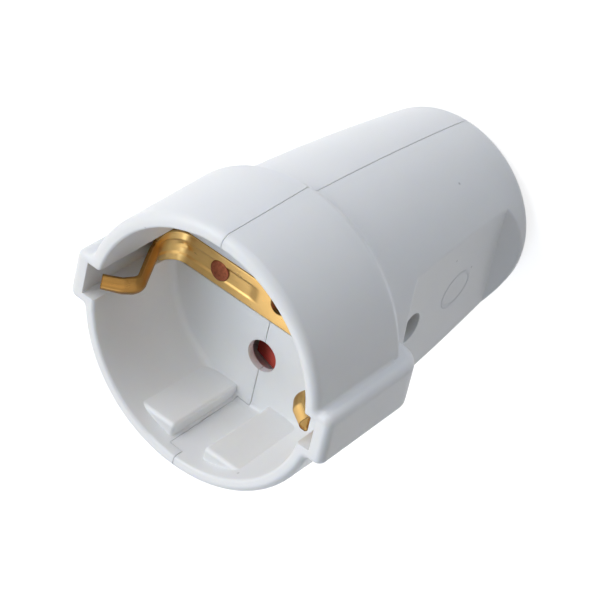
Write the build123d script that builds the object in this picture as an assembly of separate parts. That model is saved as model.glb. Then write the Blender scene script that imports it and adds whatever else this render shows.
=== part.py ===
from build123d import *
import math
import os

# Rewirable trailing socket, in millimetres. It stands on its tail face with the mouth up:
# Z runs from the tail to the rim, X through the two earth clips, Y through the two pin holes.
overall_length = 61.0
rim_z = overall_length

# Cup and plug well
cup_front_radius = 22.0
cup_rear_radius = 21.85
rim_rounding = 1.35
shoulder_z = rim_z - 19.2
shoulder_rounding = 1.0
cup_split_z = shoulder_z + 1.2 * shoulder_rounding
well_depth = 17.5
well_mouth_radius = 19.75
well_floor_radius = 19.5
mouth_rounding = 0.5
well_corner_rounding = 1.2
floor_z = rim_z - well_depth
floor_thickness = 2.0

# Handle, waisted by one long arc
handle_front_radius = 19.8
handle_front_z = rim_z - 21.6
handle_mid_radius = 18.2
handle_mid_z = rim_z - 39.5
handle_tail_radius = 15.2
tail_rounding = 2.8

# Earth clip housings on both sides of the cup
lug_front_face = 24.4
lug_rear_face = 23.8
lug_root = 18.0
lug_upper_y = 4.1
lug_lower_y = 4.9
lug_length = 22.9
lug_edge_rounding = 1.5
lug_foot_blend = 0.6
lug_rear_rounding = 4.0
channel_half_width = 2.85
channel_outer = 21.85
channel_inner = 16.75
strip_groove_depth = 0.7
channel_sink = 1.6

# Guide ribs that key the plug
rib_face = 17.3
rib_inner_side = 3.0
rib_front_z = rim_z - 2.8
rib_nose_rounding = 0.7
rib_side_rounding = 0.5

# Flat grip scoops on both sides of the handle
scoop_radius = 11.2
scoop_centre_z = rim_z - 34.3
scoop_top_x = 16.6
scoop_foot_x = 13.45
scoop_foot_z = rim_z - 54.4
scoop_ramp_x = 15.6
scoop_ramp_z = rim_z - 57.9
scoop_edge_rounding = 0.8

# Parting of the two shells
seam_gap = 0.10
well_tongue_width = 2.4
well_tongue_radius = 20.9
well_tongue_top = rim_z - 1.9
well_tongue_foot = floor_z + 0.3
handle_tongue_width = 1.0
handle_tongue_depth = 1.0
handle_tongue_top = rim_z - 25.2
tongue_clearance = 0.06
tongue_root = 0.3

# Pin holes and pins
pin_spacing = 19.0
pin_y = pin_spacing / 2
pin_hole_radius = 2.65
pin_contact_radius = 2.4

# Shutter behind the pin holes, and the spring that closes it
shutter_half_x = 3.6
shutter_half_y = 13.0
shutter_clearance = 0.2
shutter_travel = 6.5
shutter_ramp_low = 0.5
shutter_ramp_land = 0.9
shutter_web_x = 1.6
shutter_web_y = 5.6
spring_pressed_length = 4.1
spring_peg_radius = 0.75
spring_peg_length = 1.4
spring_wire_radius = 0.2
spring_mean_radius = 1.15
spring_turns = 6

# Hollows behind the well floor
chamber_top = floor_z - floor_thickness
chamber_height = 3.2
chamber_half_x = shutter_half_x + shutter_travel + spring_pressed_length
chamber_half_y = 13.4
chamber_radius = 17.4
relief_height = 0.8
relief_near_y = 5.2
guide_thickness = 1.5
guide_clearance = 0.1
guide_top = chamber_top - chamber_height
guide_bottom = guide_top - guide_thickness
hollow_top_radius = 16.4
hollow_mid_radius = 16.0
hollow_mid_z = handle_mid_z
hollow_tail_radius = 13.2
hollow_tail_z = 3.2
hollow_top_x = 13.2
hollow_foot_x = 11.4
wall_overlap = 0.6

# Cable entry in the tail
entry_radius = 4.6

# Earth strip and its clips
strip_thickness = 0.8
strip_half_width = 2.7
strip_front_z = floor_z + 0.1
strip_mid_z = strip_front_z - strip_thickness / 2
strip_flat_x = 17.5
shoulder_top_z = rim_z - 12.6
shoulder_taper_z = rim_z - 15.4
shoulder_inset = 0.3
arm_half_width = 1.6
arm_thickness = 0.6
arm_crown = 0.75
arm_points = [
    (17.0, strip_mid_z),
    (21.8, strip_mid_z),
    (15.2, rim_z - 4.9),
    (16.8, rim_z - 2.7),
    (19.5, rim_z - 0.9),
]
arm_bend_radii = [2.4, 1.8, 1.5]
strip_hole_x = 0.9
strip_hole_y = 0.85
strip_hole_radius = 1.5
strip_panel_near_x = 3.0
strip_panel_far_x = 16.6
strip_panel_half_width = 1.45
strip_panel_depth = 0.16
rivet_x = -10.5
rivet_radius = 1.6
rivet_hole_radius = 1.7
rivet_tail_radius = 2.2
rivet_tail_height = 0.8
rivet_sink = 0.15

# Earth link behind the guide plate
link_thickness = 0.8
link_foot_x = -12.8
link_leg_x = -7.8
link_half_width = 4.4
link_bottom_z = 14.4
link_boss_clearance = 0.3

# Pin contacts: rolled brass sleeves with a steel clip round each
contact_top = guide_bottom - 0.3
contact_bottom = 24.0
contact_outer_radius = 3.2
contact_mouth_rounding = 0.4
contact_slot = 1.8
contact_collar = 2.4
contact_tang_width = 4.6
contact_tang_thickness = 0.8
clip_z = 29.4
clip_height = 3.4
clip_thickness = 0.5
clip_slot = 3.0

# Screw terminals
terminal_top = 22.6
terminal_bottom = 15.4
terminal_half_width = 3.2
terminal_low_x = -2.4
terminal_high_x = 4.2
terminal_wall = 1.3
terminal_back = 0.8
terminal_screw_radius = 1.25
terminal_head_radius = 2.0
terminal_head_height = 1.5
terminal_screw_reach = 2.0
terminal_screw_neck = 0.6
pressure_plate_thickness = 0.7
pressure_plate_end_gap = 0.3
pressure_plate_side_gap = 0.1

# Housing screw and its nut, across the shells
housing_screw_z = rim_z - 30.3
screw_radius = 1.5
screw_hole_radius = 1.65
screw_head_radius = 2.4
screw_head_height = 1.9
screw_recess_radius = 2.55
screw_seat_x = 8.0
screw_tip_x = -15.2
right_boss_radius = 4.1
left_boss_radius = 2.6
nut_across_flats = 5.5
nut_thickness = 2.4
nut_pocket_floor_x = -13.0
nut_clearance = 0.1
nut_seat = 1.2

# Cord clamp near the tail
clamp_z = 8.2
clamp_bar_half_length = 10.2
clamp_bar_half_height = 2.3
clamp_bar_low_x = 4.6
clamp_bar_high_x = 7.6
clamp_bar_rounding = 2.1
clamp_hole_gap = 0.15
clamp_cord_radius = 4.3
clamp_bite = 1.2
clamp_screw_y = 7.4
clamp_post_radius = 2.5
clamp_post_top = 3.6
clamp_screw_radius = 1.3
clamp_head_radius = 2.3
clamp_head_height = 1.6
clamp_saddle_half_height = 1.1
clamp_saddle_top = -1.6
clamp_screw_tip_x = -8.6
clamp_hole_end_x = -9.0
clamp_tooth_half_length = 3.4
clamp_tooth_half_height = 0.8

# Ribs that carry the contacts in each shell, with square seats
cradle_thickness = 1.4
cradle_heights = [34.2, 26.5]
cradle_clearance = 0.05
cradle_wire_gap = 4.9
cradle_edge_x = 1.2

# Screw slots, and how far a cutter runs past what it cuts
slot_width = 0.8
slot_depth = 0.7
past = 1.0
far = 60.0

# How near to a plane an edge counts as lying in it
touch = 0.05


def block(low, high):
    """Box between its lowest and its highest corner."""
    middle = [(a + b) / 2 for a, b in zip(low, high)]
    size = [b - a for a, b in zip(low, high)]
    return Pos(*middle) * Box(*size)


def rod_x(radius, low_x, high_x, y, z):
    """Cylinder along X."""
    return Pos((low_x + high_x) / 2, y, z) * Rot(0, 90, 0) * Cylinder(radius, high_x - low_x)


def rod_z(radius, low_z, high_z, x, y):
    """Cylinder along Z."""
    return Pos(x, y, (low_z + high_z) / 2) * Cylinder(radius, high_z - low_z)


def corner(sketch, x, y):
    """The corner of a sketch that lies nearest to a point."""
    return sketch.vertices().sort_by_distance((x, y))[0]


def barrel():
    """Turned outside of cup and handle, solid, its rim still sharp."""
    with BuildPart() as turned:
        with BuildSketch(Plane.YZ) as half:
            with BuildLine():
                Polyline(
                    (handle_tail_radius, 0),
                    (0, 0),
                    (0, rim_z),
                    (cup_front_radius, rim_z),
                    (cup_rear_radius, shoulder_z),
                    (handle_front_radius, handle_front_z),
                )
                ThreePointArc(
                    (handle_front_radius, handle_front_z),
                    (handle_mid_radius, handle_mid_z),
                    (handle_tail_radius, 0),
                )
            make_face()
            fillet(corner(half, cup_rear_radius, shoulder_z), shoulder_rounding)
            fillet(corner(half, handle_front_radius, handle_front_z), shoulder_rounding)
            fillet(corner(half, handle_tail_radius, 0), tail_rounding)
        revolve(axis=Axis.Z)
    return turned.part


def on_lug_side(point):
    """Whether a point lies in the plane of a clip housing's upper or lower side."""
    return min(abs(point.Y - lug_upper_y), abs(point.Y + lug_lower_y)) < touch


def lug():
    """The clip housing on the +X side: it flares to the rim and is rounded over its edges and rear."""
    rear_z = rim_z - lug_length
    with BuildSketch(Plane.XZ) as side:
        with BuildLine():
            Polyline(
                (lug_root, rear_z),
                (lug_rear_face, rear_z),
                (lug_front_face, rim_z),
                (lug_root, rim_z),
                close=True,
            )
        make_face()
        fillet(corner(side, lug_rear_face, rear_z), lug_rear_rounding)
    body = extrude(side.sketch, far, both=True)
    body = body & block((0, -lug_lower_y, 0), (far, lug_upper_y, rim_z))
    outer = []
    for edge in body.edges():
        middle = edge @ 0.5
        if on_lug_side(middle) and middle.X > lug_root + past:
            if rear_z + touch < middle.Z < rim_z - touch:
                outer.append(edge)
    return fillet(outer, lug_edge_rounding)


def cup_with_lugs():
    """The cup in front of its shoulder with both clip housings, and one rounding round the whole rim."""
    housings = lug() + mirror(lug(), Plane.YZ)
    cup = (barrel() + housings) & block((-far, -far, cup_split_z), (far, far, rim_z))
    feet = []
    for edge in cup.edges():
        middle = edge @ 0.5
        if on_lug_side(middle) and edge.length > lug_length / 2 and abs(middle.X) < cup_front_radius:
            feet.append(edge)
    cup = fillet(feet, lug_foot_blend)
    rim = [e for e in cup.edges() if min((e @ 0).Z, (e @ 0.5).Z, (e @ 1).Z) > rim_z - touch]
    return fillet(rim, rim_rounding)


def scoop():
    """Cut for the grip scoop on the +X side: flat face, round front wall, ramp at the tail."""
    with BuildSketch(Plane.YZ) as outline:
        with Locations((0, scoop_centre_z)):
            Circle(scoop_radius)
        with Locations((0, scoop_centre_z - far / 2)):
            Rectangle(2 * scoop_radius, far)
    slope = (scoop_ramp_x - scoop_foot_x) / (scoop_foot_z - scoop_ramp_z)
    run_out = 12.0
    with BuildSketch(Plane.XZ) as side:
        with BuildLine():
            Polyline(
                (scoop_top_x, scoop_centre_z + scoop_radius),
                (scoop_foot_x, scoop_foot_z),
                (scoop_foot_x + slope * run_out, scoop_foot_z - run_out),
                (far, scoop_foot_z - run_out),
                (far, scoop_centre_z + scoop_radius),
                close=True,
            )
        make_face()
    return extrude(outline.sketch, far, both=True) & extrude(side.sketch, far, both=True)


def scooped_barrel():
    """The turned outside with both scoops, their outer edges rounded."""
    cut = scoop()
    body = barrel() - cut - mirror(cut, Plane.YZ)
    curved = [e for e in body.edges() if e.geom_type == GeomType.BSPLINE]
    return fillet([e for e in curved if abs((e @ 0.5).X) > scoop_radius / 2], scoop_edge_rounding)


def plug_well():
    """The well that takes the plug, with the two clip channels, the strip's groove and the pin holes."""
    with BuildPart() as well:
        with BuildSketch(Plane.YZ) as half:
            with BuildLine():
                lip = mouth_rounding * (1 - math.sqrt(0.5))
                ThreePointArc(
                    (well_mouth_radius, rim_z - mouth_rounding),
                    (well_mouth_radius + lip, rim_z - lip),
                    (well_mouth_radius + mouth_rounding, rim_z),
                )
                Polyline(
                    (well_mouth_radius + mouth_rounding, rim_z),
                    (well_mouth_radius + mouth_rounding, rim_z + past),
                    (0, rim_z + past),
                    (0, floor_z),
                    (well_floor_radius, floor_z),
                    (well_mouth_radius, rim_z - mouth_rounding),
                )
            make_face()
            fillet(corner(half, well_floor_radius, floor_z), well_corner_rounding)
        revolve(axis=Axis.Z)
    channel_low = (-channel_outer, -channel_half_width, floor_z - strip_groove_depth)
    groove_high = (channel_outer, channel_half_width, floor_z + past)
    cut = well.part + block(channel_low, groove_high)
    channel_near = (channel_inner, -channel_half_width, floor_z - channel_sink)
    channel = block(channel_near, (channel_outer, channel_half_width, rim_z + past))
    cut += channel + mirror(channel, Plane.YZ)
    for side in (-1, 1):
        cut += rod_z(pin_hole_radius, chamber_top - past, rim_z, 0, side * pin_y)
    cut += rod_z(rivet_hole_radius, chamber_top - past, floor_z, rivet_x, 0)
    cut += rod_z(strip_hole_radius, chamber_top - past, floor_z, strip_hole_x, strip_hole_y)
    return cut


def guide_ribs():
    """Four blocks in the well, two at the top and two at the bottom, with a groove between each two."""
    reach = well_mouth_radius + wall_overlap
    foot_z = floor_z - floor_thickness / 2
    rib = block((rib_inner_side, rib_face, foot_z), (reach, reach, rib_front_z))
    nose = rib.faces().sort_by(Axis.Y)[0].edges().sort_by(Axis.Z)[-1]
    rib = fillet(nose, rib_nose_rounding)
    flank = rib.faces().sort_by(Axis.Y)[0].edges().sort_by(Axis.X)[0]
    rib = fillet(flank, rib_side_rounding)
    rib = rib & rod_z(reach, foot_z, rim_z, 0, 0)
    ribs = rib + mirror(rib, Plane.YZ)
    return ribs + mirror(ribs, Plane.XZ)


def chamber():
    """Flat hollow for the shutter, deeper round the pin holes, and the seat of the guide plate."""
    half_x, half_y = chamber_half_x, chamber_half_y
    room = block((-half_x, -half_y, guide_bottom), (half_x, half_y, chamber_top))
    room += block((-half_x, -half_y, chamber_top), (half_x, half_y, chamber_top + relief_height))
    room -= block((-half_x, -relief_near_y, chamber_top), (half_x, relief_near_y, floor_z))
    return room & rod_z(chamber_radius, guide_bottom, floor_z, 0, 0)


def handle_hollow(grow=0.0):
    """Wiring space in the handle, or the same grown into the wall."""
    with BuildPart() as turned:
        with BuildSketch(Plane.YZ):
            with BuildLine():
                Polyline(
                    (hollow_tail_radius + grow, hollow_tail_z - grow),
                    (0, hollow_tail_z - grow),
                    (0, guide_bottom),
                    (hollow_top_radius + grow, guide_bottom),
                )
                ThreePointArc(
                    (hollow_top_radius + grow, guide_bottom),
                    (hollow_mid_radius + grow, hollow_mid_z),
                    (hollow_tail_radius + grow, hollow_tail_z - grow),
                )
            make_face()
        revolve(axis=Axis.Z)
    with BuildSketch(Plane.XZ) as side:
        with BuildLine():
            Polyline(
                (hollow_top_x + grow, guide_bottom),
                (hollow_foot_x + grow, scoop_foot_z),
                (hollow_foot_x + grow, hollow_tail_z - grow),
                (-hollow_foot_x - grow, hollow_tail_z - grow),
                (-hollow_foot_x - grow, scoop_foot_z),
                (-hollow_top_x - grow, guide_bottom),
                close=True,
            )
        make_face()
    return turned.part & extrude(side.sketch, far, both=True)


def moulding():
    """Both shells in one, before they are parted."""
    behind = block((-far, -far, -past), (far, far, cup_split_z))
    housings = lug() + mirror(lug(), Plane.YZ)
    outside = cup_with_lugs() + ((scooped_barrel() + housings) & behind)
    hollowed = outside - plug_well() + guide_ribs()
    hollowed = hollowed - chamber() - handle_hollow()
    return hollowed - rod_z(entry_radius, -past, hollow_tail_z + past, 0, 0)


def shell_blanks(whole):
    """The two shells parted at X = 0, the right one with the tongues and the left one cut to take them."""
    half_gap = seam_gap / 2
    right = whole & block((half_gap, -far, -past), (far, far, rim_z + past))
    left = whole & block((-far, -far, -past), (-half_gap, far, rim_z + past))
    right = right + (whole & tongues(0.0))
    return left - tongues(tongue_clearance), right


def tongues(spare):
    """Space of the two tongues past the parting, with some clearance all round."""
    root_x = tongue_root
    in_well = rod_z(well_tongue_radius + spare, well_tongue_foot - spare, well_tongue_top + spare, 0, 0)
    in_well = in_well & block((-well_tongue_width - spare, -far, 0), (root_x, far, far))
    handle_low = (-handle_tongue_width - spare, -far, hollow_tail_z - spare)
    handle_high = (root_x, far, handle_tongue_top + spare)
    in_handle = handle_hollow(handle_tongue_depth + spare) & block(handle_low, handle_high)
    return in_well + in_handle


def cradles(low_x, high_x):
    """Cross ribs with square seats for the two contacts and a gap for the earth core."""
    ribs = Part()
    for height in cradle_heights:
        low = (low_x, -far, height - cradle_thickness / 2)
        ribs += block(low, (high_x, far, height + cradle_thickness / 2)) & handle_hollow(wall_overlap)
    seat = contact_outer_radius + cradle_clearance
    for side in (-1, 1):
        middle_y = side * pin_y
        ribs -= block((-seat, middle_y - seat, contact_bottom), (seat, middle_y + seat, contact_top))
    gap_low = (-far, -cradle_wire_gap, contact_bottom)
    return ribs - block(gap_low, (far, cradle_wire_gap, contact_top))


def left_shell(blank):
    """Left shell with nut boss, cord saddle, clamp posts and contact cradles."""
    root_x = -hollow_top_x - wall_overlap
    boss = rod_x(left_boss_radius, root_x, -seam_gap / 2, 0, housing_screw_z)
    nut_wall = rod_x(right_boss_radius, root_x, nut_pocket_floor_x + nut_seat, 0, housing_screw_z)
    inside = cradles(-far, -cradle_edge_x) + ((boss + nut_wall) & handle_hollow(wall_overlap))
    foot_x = -hollow_foot_x - wall_overlap
    saddle_low = (foot_x, -clamp_bar_half_length, clamp_z - clamp_saddle_half_height)
    saddle_high = (clamp_saddle_top, clamp_bar_half_length, clamp_z + clamp_saddle_half_height)
    saddle = block(saddle_low, saddle_high)
    saddle -= rod_z(clamp_cord_radius, 0, hollow_mid_z, 0, 0)
    for side in (-1, 1):
        saddle += rod_x(clamp_post_radius, foot_x, clamp_post_top, side * clamp_screw_y, clamp_z)
    shell = blank + inside + (saddle & handle_hollow(wall_overlap))
    for side in (-1, 1):
        screw_y = side * clamp_screw_y
        shell -= rod_x(clamp_screw_radius, clamp_hole_end_x, clamp_post_top + past, screw_y, clamp_z)
    shell -= rod_x(screw_hole_radius, -far, 0, 0, housing_screw_z)
    pocket = nut_prism(nut_across_flats / 2 + nut_clearance, -far, nut_pocket_floor_x)
    return shell - pocket


def right_shell(blank):
    """Right shell with the recessed boss for the housing screw and its contact cradles."""
    boss = rod_x(right_boss_radius, seam_gap / 2, hollow_top_x + wall_overlap, 0, housing_screw_z)
    shell = blank + cradles(cradle_edge_x, far) + (boss & handle_hollow(wall_overlap))
    shell -= rod_x(screw_hole_radius, 0, far, 0, housing_screw_z)
    return shell - rod_x(screw_recess_radius, screw_seat_x, far, 0, housing_screw_z)


def nut_prism(flat_radius, low_x, high_x):
    """Hexagonal prism along X on the housing screw's line."""
    prism = extrude(RegularPolygon(flat_radius, 6, major_radius=False), high_x - low_x)
    return Pos(low_x, 0, housing_screw_z) * Rot(0, 90, 0) * prism


def earth_strip():
    """One folded brass strip: flat across the floor, with a crowned spring clip turned up at each end."""
    low = (-strip_flat_x, -strip_half_width, strip_front_z - strip_thickness)
    flat = block(low, (strip_flat_x, strip_half_width, strip_front_z))
    path = FilletPolyline(*[(x, 0, z) for x, z in arm_points], radius=arm_bend_radii)
    half = arm_half_width
    edge = arm_crown - arm_thickness / 2
    back = -edge - arm_thickness
    start = Plane(origin=(arm_points[0][0], 0, strip_mid_z), x_dir=(0, 1, 0), z_dir=(1, 0, 0))
    with BuildSketch(start) as section:
        with BuildLine():
            ThreePointArc((-half, -edge), (0, arm_thickness / 2), (half, -edge))
            Line((half, -edge), (half, back))
            ThreePointArc((half, back), (0, -arm_thickness / 2), (-half, back))
            Line((-half, back), (-half, -edge))
        make_face()
    arm = sweep(section.sketch, path) + strip_shoulder()
    strip = flat + arm + mirror(arm, Plane.YZ)
    strip -= strip_panel() + mirror(strip_panel(), Plane.YZ)
    strip -= rod_z(rivet_radius, chamber_top, rim_z, rivet_x, 0)
    return strip - rod_z(strip_hole_radius, chamber_top, rim_z, strip_hole_x, strip_hole_y)


def strip_panel():
    """Shallow pressed panel with sloping sides, between the middle hole and a clip."""
    length = strip_panel_far_x - strip_panel_near_x
    middle_x = (strip_panel_far_x + strip_panel_near_x) / 2
    top = Plane(origin=(middle_x, 0, strip_front_z - strip_panel_depth))
    width = 2 * (strip_panel_half_width - strip_panel_depth)
    floor_face = RectangleRounded(length, width, width / 3)
    return extrude(top * floor_face, 2 * strip_panel_depth, taper=-45)


def strip_shoulder():
    """Full-width bend at the foot of a clip, tapering to the arm's width."""
    start, bend, apex = [Vector(x, 0, z) for x, z in arm_points[:3]]
    top = bend + (apex - bend) * ((shoulder_top_z + past - bend.Z) / (apex.Z - bend.Z))
    path = FilletPolyline(start, bend, top, radius=arm_bend_radii[0])
    across = Plane(origin=start, x_dir=(0, 1, 0), z_dir=(1, 0, 0))
    section = across * Rectangle(2 * strip_half_width, strip_thickness)
    inset = arm_half_width - shoulder_inset
    with BuildSketch(Plane.YZ) as taper:
        with BuildLine():
            Polyline(
                (-strip_half_width, 0),
                (strip_half_width, 0),
                (strip_half_width, shoulder_taper_z),
                (inset, shoulder_top_z),
                (-inset, shoulder_top_z),
                (-strip_half_width, shoulder_taper_z),
                close=True,
            )
        make_face()
    return sweep(section, path) & extrude(taper.sketch, far, both=True)


def earth_rivet():
    """Copper rivet through strip, floor, guide plate and earth link."""
    tail_top = guide_bottom - link_thickness
    shank = rod_z(rivet_radius, tail_top, strip_front_z - rivet_sink, rivet_x, 0)
    return shank + rod_z(rivet_tail_radius, tail_top - rivet_tail_height, tail_top, rivet_x, 0)


def earth_link():
    """Bent brass link from the rivet down to the earth terminal, pierced for the nut boss."""
    foot_low = (link_foot_x, -link_half_width, guide_bottom - link_thickness)
    leg_high = (link_leg_x + link_thickness, link_half_width, guide_bottom)
    link = block(foot_low, leg_high) + block((link_leg_x, -link_half_width, link_bottom_z), leg_high)
    hole_radius = left_boss_radius + link_boss_clearance
    link -= rod_x(hole_radius, link_leg_x - past, link_leg_x + link_thickness + past, 0, housing_screw_z)
    return link - rod_z(rivet_radius, guide_bottom - link_thickness, guide_bottom, rivet_x, 0)


def terminal(base_x, y):
    """Cage terminal at a place: the cage, its screw and the plate that the screw presses on the core."""
    high_x = base_x + terminal_high_x - terminal_low_x
    half = terminal_half_width
    cage = block((base_x, y - half, terminal_bottom), (high_x, y + half, terminal_top))
    room = half - terminal_wall
    inside_low = (base_x + terminal_back, y - room, terminal_bottom - past)
    inside_high = (high_x - terminal_wall, y + room, terminal_top + past)
    cage -= block(inside_low, inside_high)
    middle_z = (terminal_top + terminal_bottom) / 2
    cage -= rod_x(terminal_screw_radius, high_x - terminal_wall, high_x, y, middle_z)
    plate_high = high_x - terminal_wall - terminal_screw_reach + pressure_plate_thickness
    neck_x = high_x + terminal_screw_neck
    top_x = neck_x + terminal_head_height
    screw = rod_x(terminal_screw_radius, plate_high, neck_x, y, middle_z)
    screw = screw + slotted(rod_x(terminal_head_radius, neck_x, top_x, y, middle_z), top_x, y, middle_z)
    across = room - pressure_plate_side_gap
    plate_bottom = terminal_bottom + pressure_plate_end_gap
    plate_low = (plate_high - pressure_plate_thickness, y - across, plate_bottom)
    plate_top = (plate_high, y + across, terminal_top - pressure_plate_end_gap)
    return cage, screw, block(plate_low, plate_top)


def slotted(head, top_x, y, z):
    """A screw head that faces +X, with a straight slot."""
    half = slot_width / 2
    slot = block((top_x - slot_depth, y - far, z - half), (top_x + past, y + far, z + half))
    return head - slot


def pin_contact(y):
    """Rolled sleeve with a slot on its outer side and a flat tang that lies under the terminal."""
    side = math.copysign(1, y)
    sleeve = rod_z(contact_outer_radius, contact_bottom, contact_top, 0, y)
    sleeve = chamfer(sleeve.edges().sort_by(Axis.Z)[-1], contact_mouth_rounding)
    tang_low_x = terminal_low_x - contact_tang_thickness
    tang_high = (terminal_low_x, y + contact_tang_width / 2, contact_bottom + past)
    sleeve += block((tang_low_x, y - contact_tang_width / 2, terminal_bottom), tang_high)
    sleeve -= rod_z(pin_contact_radius, contact_bottom, contact_top, 0, y)
    slot_far = y + side * far
    slot_low = (-contact_slot / 2, min(y, slot_far), contact_bottom + contact_collar)
    return sleeve - block(slot_low, (contact_slot / 2, max(y, slot_far), contact_top))


def contact_clip(y):
    """Steel ring clip that keeps the sleeve closed on the pin."""
    side = math.copysign(1, y)
    low_z, high_z = clip_z - clip_height / 2, clip_z + clip_height / 2
    ring = rod_z(contact_outer_radius + clip_thickness, low_z, high_z, 0, y)
    ring -= rod_z(contact_outer_radius, low_z - past, high_z + past, 0, y)
    slot_far = y + side * far
    slot_low = (-clip_slot / 2, min(y, slot_far), 0)
    return ring - block(slot_low, (clip_slot / 2, max(y, slot_far), rim_z))


def shutter():
    """Sliding shutter: a bar with a ramp under each pin hole and a peg for the spring."""
    low_z = guide_top + shutter_clearance
    high_z = chamber_top - shutter_clearance
    bar = block((-shutter_half_x, -shutter_half_y, low_z), (shutter_half_x, shutter_half_y, high_z))
    with BuildSketch(Plane.XZ) as wedge:
        with BuildLine():
            Polyline(
                (-shutter_half_x - past, low_z + shutter_ramp_low),
                (shutter_half_x - shutter_ramp_land, high_z),
                (shutter_half_x - shutter_ramp_land, high_z + past),
                (-shutter_half_x - past, high_z + past),
                close=True,
            )
        make_face()
    ramp = extrude(wedge.sketch, far, both=True)
    bar -= ramp & block((-far, -far, 0), (far, -shutter_web_y, far))
    bar -= ramp & block((-far, shutter_web_y, 0), (far, far, far))
    bar -= block((-far, -shutter_web_y, 0), (shutter_web_x, shutter_web_y, far))
    middle_z = (low_z + high_z) / 2
    peg_end_x = shutter_half_x + spring_peg_length
    return bar + rod_x(spring_peg_radius, shutter_web_x, peg_end_x, 0, middle_z)


def shutter_spring():
    """Compression spring between the shutter and the chamber wall, its fine wire six-sided."""
    start_x = shutter_half_x + spring_wire_radius
    length = chamber_half_x - start_x - spring_wire_radius
    middle_z = guide_top + chamber_height / 2
    coil = Helix(length / spring_turns, length, spring_mean_radius)
    wire = sweep(Plane(coil @ 0, z_dir=coil % 0) * RegularPolygon(spring_wire_radius, 6), coil)
    return Pos(start_x, 0, middle_z) * Rot(0, 90, 0) * wire


def shutter_guide():
    """Plate that closes the shutter chamber, with the pin holes and the rivet hole."""
    plate = chamber() & block((-far, -far, guide_bottom), (far, far, guide_top))
    half_x = chamber_half_x - guide_clearance
    half_y = chamber_half_y - guide_clearance
    plate = plate & block((-half_x, -half_y, 0), (half_x, half_y, far))
    plate = plate & rod_z(chamber_radius - guide_clearance, 0, far, 0, 0)
    for side in (-1, 1):
        plate -= rod_z(pin_hole_radius, 0, far, 0, side * pin_y)
    return plate - rod_z(rivet_hole_radius, 0, far, rivet_x, 0)


def housing_screw():
    """Machine screw through both shells."""
    shank = rod_x(screw_radius, screw_tip_x, screw_seat_x, 0, housing_screw_z)
    top_x = screw_seat_x + screw_head_height
    head = rod_x(screw_head_radius, screw_seat_x, top_x, 0, housing_screw_z)
    return shank + slotted(head, top_x, 0, housing_screw_z)


def housing_nut():
    """Hexagon nut in the left shell's pocket."""
    low_x = nut_pocket_floor_x - nut_thickness
    nut = nut_prism(nut_across_flats / 2, low_x, nut_pocket_floor_x)
    return nut - rod_x(screw_radius, low_x, nut_pocket_floor_x, 0, housing_screw_z)


def cord_clamp_bar():
    """Bar that presses the cord into the saddle, with a rounded tooth across its middle."""
    low = (clamp_bar_low_x, -clamp_bar_half_length, clamp_z - clamp_bar_half_height)
    bar = block(low, (clamp_bar_high_x, clamp_bar_half_length, clamp_z + clamp_bar_half_height))
    bar = fillet(bar.edges().filter_by(Axis.X), clamp_bar_rounding)
    tooth_low = (clamp_bar_low_x - clamp_bite, -clamp_tooth_half_length, clamp_z - clamp_tooth_half_height)
    tooth_high = (clamp_bar_high_x, clamp_tooth_half_length, clamp_z + clamp_tooth_half_height)
    bar += block(tooth_low, tooth_high)
    for side in (-1, 1):
        bar -= rod_x(clamp_screw_radius + clamp_hole_gap, 0, far, side * clamp_screw_y, clamp_z)
    return bar


def cord_clamp_screws():
    """The two screws of the cord clamp."""
    top_x = clamp_bar_high_x + clamp_head_height
    screws = []
    for side in (-1, 1):
        y = side * clamp_screw_y
        head = rod_x(clamp_head_radius, clamp_bar_high_x, top_x, y, clamp_z)
        shank = rod_x(clamp_screw_radius, clamp_screw_tip_x, clamp_bar_high_x, y, clamp_z)
        screws.append(shank + slotted(head, top_x, y, clamp_z))
    return Compound(children=screws)


blank_left, blank_right = shell_blanks(moulding())
pieces = {
    "shell_left": left_shell(blank_left),
    "shell_right": right_shell(blank_right),
    "earth_strip": earth_strip(),
    "earth_rivet": earth_rivet(),
    "earth_link": earth_link(),
    "shutter": shutter(),
    "shutter_spring": shutter_spring(),
    "shutter_guide": shutter_guide(),
    "housing_screw": housing_screw(),
    "housing_nut": housing_nut(),
    "cord_clamp_bar": cord_clamp_bar(),
    "cord_clamp_screws": cord_clamp_screws(),
}
terminal_places = {
    "line": (terminal_low_x, pin_y),
    "neutral": (terminal_low_x, -pin_y),
    "earth": (link_leg_x + link_thickness, 0),
}
for name, (base_x, place_y) in terminal_places.items():
    cage, screw, plate = terminal(base_x, place_y)
    pieces[name + "_terminal"] = cage
    pieces[name + "_terminal_screw"] = screw
    pieces[name + "_pressure_plate"] = plate
for name in ("line", "neutral"):
    place_y = terminal_places[name][1]
    pieces[name + "_contact"] = pin_contact(place_y)
    pieces[name + "_contact_clip"] = contact_clip(place_y)

os.makedirs("parts", exist_ok=True)
for name, shape in pieces.items():
    export_step(shape, "parts/" + name + ".step")
    print(name, "volume", round(shape.volume, 1))
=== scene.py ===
import math

import bmesh
import bpy
from bpy.props import FloatProperty, FloatVectorProperty, PointerProperty
from mathutils import Matrix, Vector


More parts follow.
